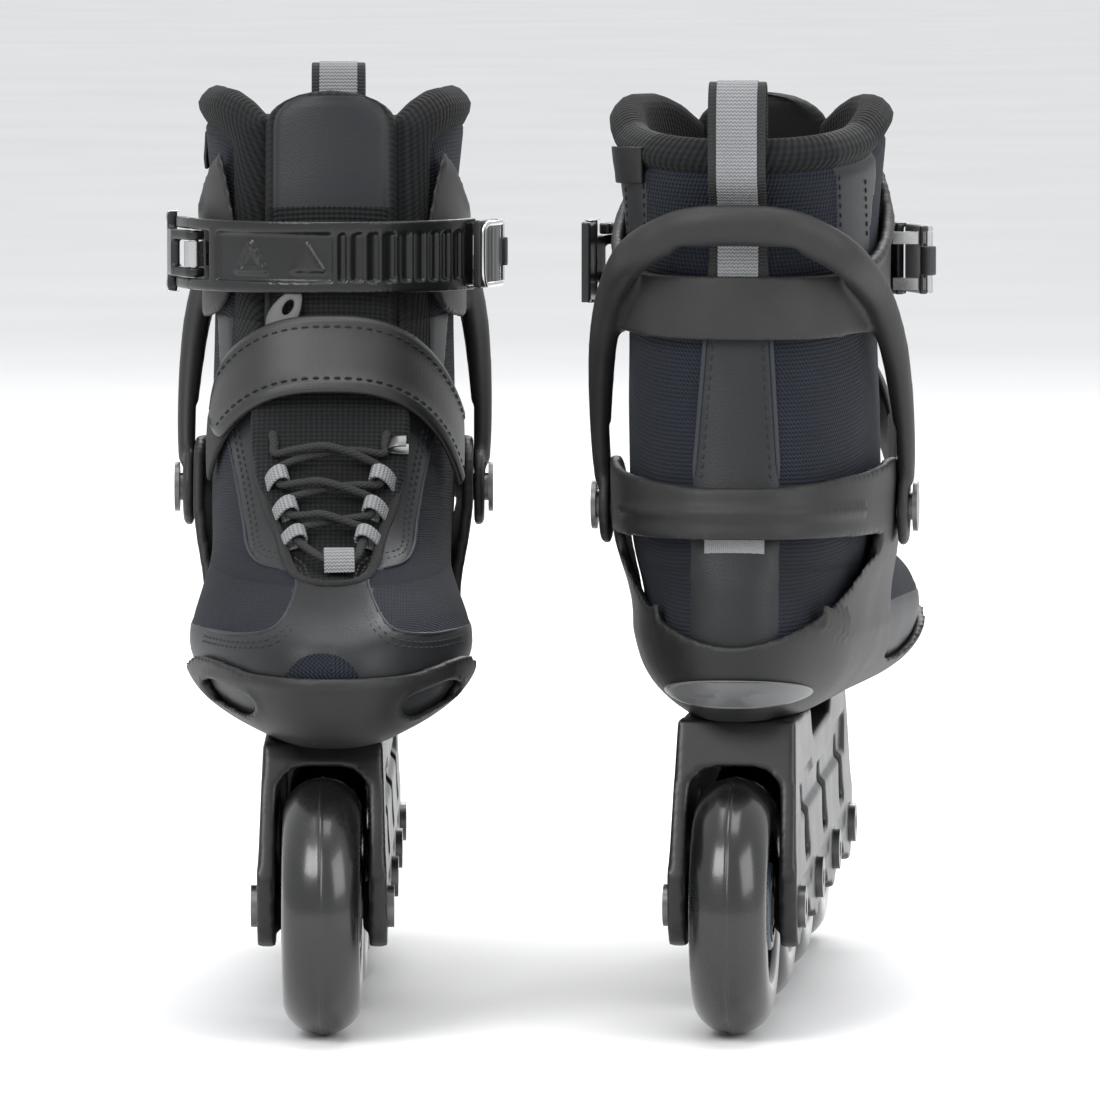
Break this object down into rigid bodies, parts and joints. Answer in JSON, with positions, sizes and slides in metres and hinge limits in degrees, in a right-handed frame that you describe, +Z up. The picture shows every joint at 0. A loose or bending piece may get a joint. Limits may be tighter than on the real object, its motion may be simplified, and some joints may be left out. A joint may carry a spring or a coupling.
{
  "type": "inline skates",
  "caption": "Pair of recreational inline skates: soft textile boots in open plastic shells with hinged cuffs, ratchet and instep straps, and in-line wheel frames.",
  "frame": {"origin": "on the floor midway between the two skates, under the middle of the right skate's wheelbase", "axes": "+Z up; the right skate's toe points to -Y and the left skate's toe to +Y, turned 5.5 degrees outwards; +X runs from the right skate to the left one"},
  "size_m": [0.2492, 0.323, 0.2938],
  "materials": {
    "frame_plastic": "satin black glass-filled nylon",
    "shell_plastic": "fine-grained charcoal plastic",
    "buckle_plastic": "semi-gloss black plastic",
    "boot_textile": "navy-black mesh",
    "smooth_synthetic": "smooth charcoal synthetic leather",
    "strap_webbing": "dense charcoal strap",
    "loop_webbing": "light grey webbing",
    "lace": "black braided lace",
    "footbed": "soft foam with a cloth face",
    "tyre": "glossy cast polyurethane",
    "hub_plastic": "blue-grey moulded plastic",
    "reflector": "grey oval badge",
    "steel": "bright plated steel"
  },
  "bodies": {
    "right_skate": {"right_frame": "frame_plastic", "right_axles": "steel", "right_bearings": "steel", "right_frame_bolts": "steel", "right_shell": "shell_plastic", "right_reflector": "reflector", "right_boot": "boot_textile", "right_insole": "footbed", "right_heel_pad": "footbed", "right_tongue_base": "smooth_synthetic", "right_laces": "lace", "right_lace_loops": "loop_webbing", "right_instep_strap": "strap_webbing", "right_hinge_rivets": "steel"},
    "right_cuff": {"right_cuff": "shell_plastic", "right_collar": "boot_textile", "right_tongue": "smooth_synthetic", "right_heel_tab": "loop_webbing", "right_buckle_mounts": "buckle_plastic"},
    "right_strap": {"right_ladder_strap": "buckle_plastic"},
    "right_lever": {"right_buckle_lever": "buckle_plastic"},
    "right_catch": {"right_strap_catch": "buckle_plastic"},
    "right_wheel_1": {"right_tyre_1": "tyre", "right_hub_1": "hub_plastic"},
    "right_wheel_2": {"right_tyre_2": "tyre", "right_hub_2": "hub_plastic"},
    "right_wheel_3": {"right_tyre_3": "tyre", "right_hub_3": "hub_plastic"},
    "right_wheel_4": {"right_tyre_4": "tyre", "right_hub_4": "hub_plastic"},
    "left_skate": {"left_frame": "frame_plastic", "left_axles": "steel", "left_bearings": "steel", "left_frame_bolts": "steel", "left_shell": "shell_plastic", "left_reflector": "reflector", "left_boot": "boot_textile", "left_insole": "footbed", "left_heel_pad": "footbed", "left_tongue_base": "smooth_synthetic", "left_laces": "lace", "left_lace_loops": "loop_webbing", "left_instep_strap": "strap_webbing", "left_hinge_rivets": "steel"},
    "left_cuff": {"left_cuff": "shell_plastic", "left_collar": "boot_textile", "left_tongue": "smooth_synthetic", "left_heel_tab": "loop_webbing", "left_buckle_mounts": "buckle_plastic"},
    "left_strap": {"left_ladder_strap": "buckle_plastic"},
    "left_lever": {"left_buckle_lever": "buckle_plastic"},
    "left_catch": {"left_strap_catch": "buckle_plastic"},
    "left_wheel_1": {"left_tyre_1": "tyre", "left_hub_1": "hub_plastic"},
    "left_wheel_2": {"left_tyre_2": "tyre", "left_hub_2": "hub_plastic"},
    "left_wheel_3": {"left_tyre_3": "tyre", "left_hub_3": "hub_plastic"},
    "left_wheel_4": {"left_tyre_4": "tyre", "left_hub_4": "hub_plastic"}
  },
  "joints": [
    {"name": "right_wheel_1_spin", "type": "hinge", "parent": "right_skate", "child": "right_wheel_1", "pos_m": [-0.0695, -0.1215, 0.04], "axis": [1, 0, 0], "continuous": true},
    {"name": "right_wheel_2_spin", "type": "hinge", "parent": "right_skate", "child": "right_wheel_2", "pos_m": [-0.0695, -0.0405, 0.04], "axis": [1, 0, 0], "continuous": true},
    {"name": "right_wheel_3_spin", "type": "hinge", "parent": "right_skate", "child": "right_wheel_3", "pos_m": [-0.0695, 0.0405, 0.04], "axis": [1, 0, 0], "continuous": true},
    {"name": "right_wheel_4_spin", "type": "hinge", "parent": "right_skate", "child": "right_wheel_4", "pos_m": [-0.0695, 0.1215, 0.04], "axis": [1, 0, 0], "continuous": true},
    {"name": "right_cuff_flex", "type": "hinge", "parent": "right_skate", "child": "right_cuff", "pos_m": [-0.0695, 0.04, 0.15832], "axis": [1, 0, 0], "range_deg": [-2, 8], "stiffness_Nm_per_rad": 40},
    {"name": "right_lever_swing", "type": "hinge", "parent": "right_cuff", "child": "right_lever", "pos_m": [-0.11383, 0.01426, 0.23532], "axis": [0, 0, 1], "range_deg": [0, 100]},
    {"name": "right_strap_slack", "type": "hinge", "parent": "right_cuff", "child": "right_strap", "pos_m": [-0.02595, 0.01273, 0.23532], "axis": [0, 0, 1], "range_deg": [0, 9]},
    {"name": "right_catch_release", "type": "hinge", "parent": "right_cuff", "child": "right_catch", "pos_m": [-0.01548, 0.0302, 0.23532], "axis": [0, 0, 1], "range_deg": [0, 20], "stiffness_Nm_per_rad": 0.1},
    {"name": "left_wheel_1_spin", "type": "hinge", "parent": "left_skate", "child": "left_wheel_1", "pos_m": [0.08114, 0.12094, 0.04], "axis": [-0.9954, 0.0958, 0], "continuous": true},
    {"name": "left_wheel_2_spin", "type": "hinge", "parent": "left_skate", "child": "left_wheel_2", "pos_m": [0.07338, 0.04031, 0.04], "axis": [-0.9954, 0.0958, 0], "continuous": true},
    {"name": "left_wheel_3_spin", "type": "hinge", "parent": "left_skate", "child": "left_wheel_3", "pos_m": [0.06562, -0.04031, 0.04], "axis": [-0.9954, 0.0958, 0], "continuous": true},
    {"name": "left_wheel_4_spin", "type": "hinge", "parent": "left_skate", "child": "left_wheel_4", "pos_m": [0.05785, -0.12094, 0.04], "axis": [-0.9954, 0.0958, 0], "continuous": true},
    {"name": "left_cuff_flex", "type": "hinge", "parent": "left_skate", "child": "left_cuff", "pos_m": [0.06567, -0.03982, 0.15832], "axis": [-0.9954, 0.0958, 0], "range_deg": [-2, 8], "stiffness_Nm_per_rad": 40},
    {"name": "left_lever_swing", "type": "hinge", "parent": "left_cuff", "child": "left_lever", "pos_m": [0.02401, -0.00995, 0.23532], "axis": [0, 0, -1], "range_deg": [0, 100]},
    {"name": "left_strap_slack", "type": "hinge", "parent": "left_cuff", "child": "left_strap", "pos_m": [0.11163, -0.01684, 0.23532], "axis": [0, 0, -1], "range_deg": [0, 9]},
    {"name": "left_catch_release", "type": "hinge", "parent": "left_cuff", "child": "left_catch", "pos_m": [0.12038, -0.03524, 0.23532], "axis": [0, 0, -1], "range_deg": [0, 20], "stiffness_Nm_per_rad": 0.1},
    {"name": "skate_gap", "type": "slide", "parent": "right_skate", "child": "left_skate", "axis": [1, 0, 0], "range_m": [0, 0.15]}
  ],
  "couplings": [
    {"joint": "right_strap_slack", "follows": "right_lever_swing", "ratio": 0.086},
    {"joint": "left_strap_slack", "follows": "left_lever_swing", "ratio": 0.086}
  ]
}
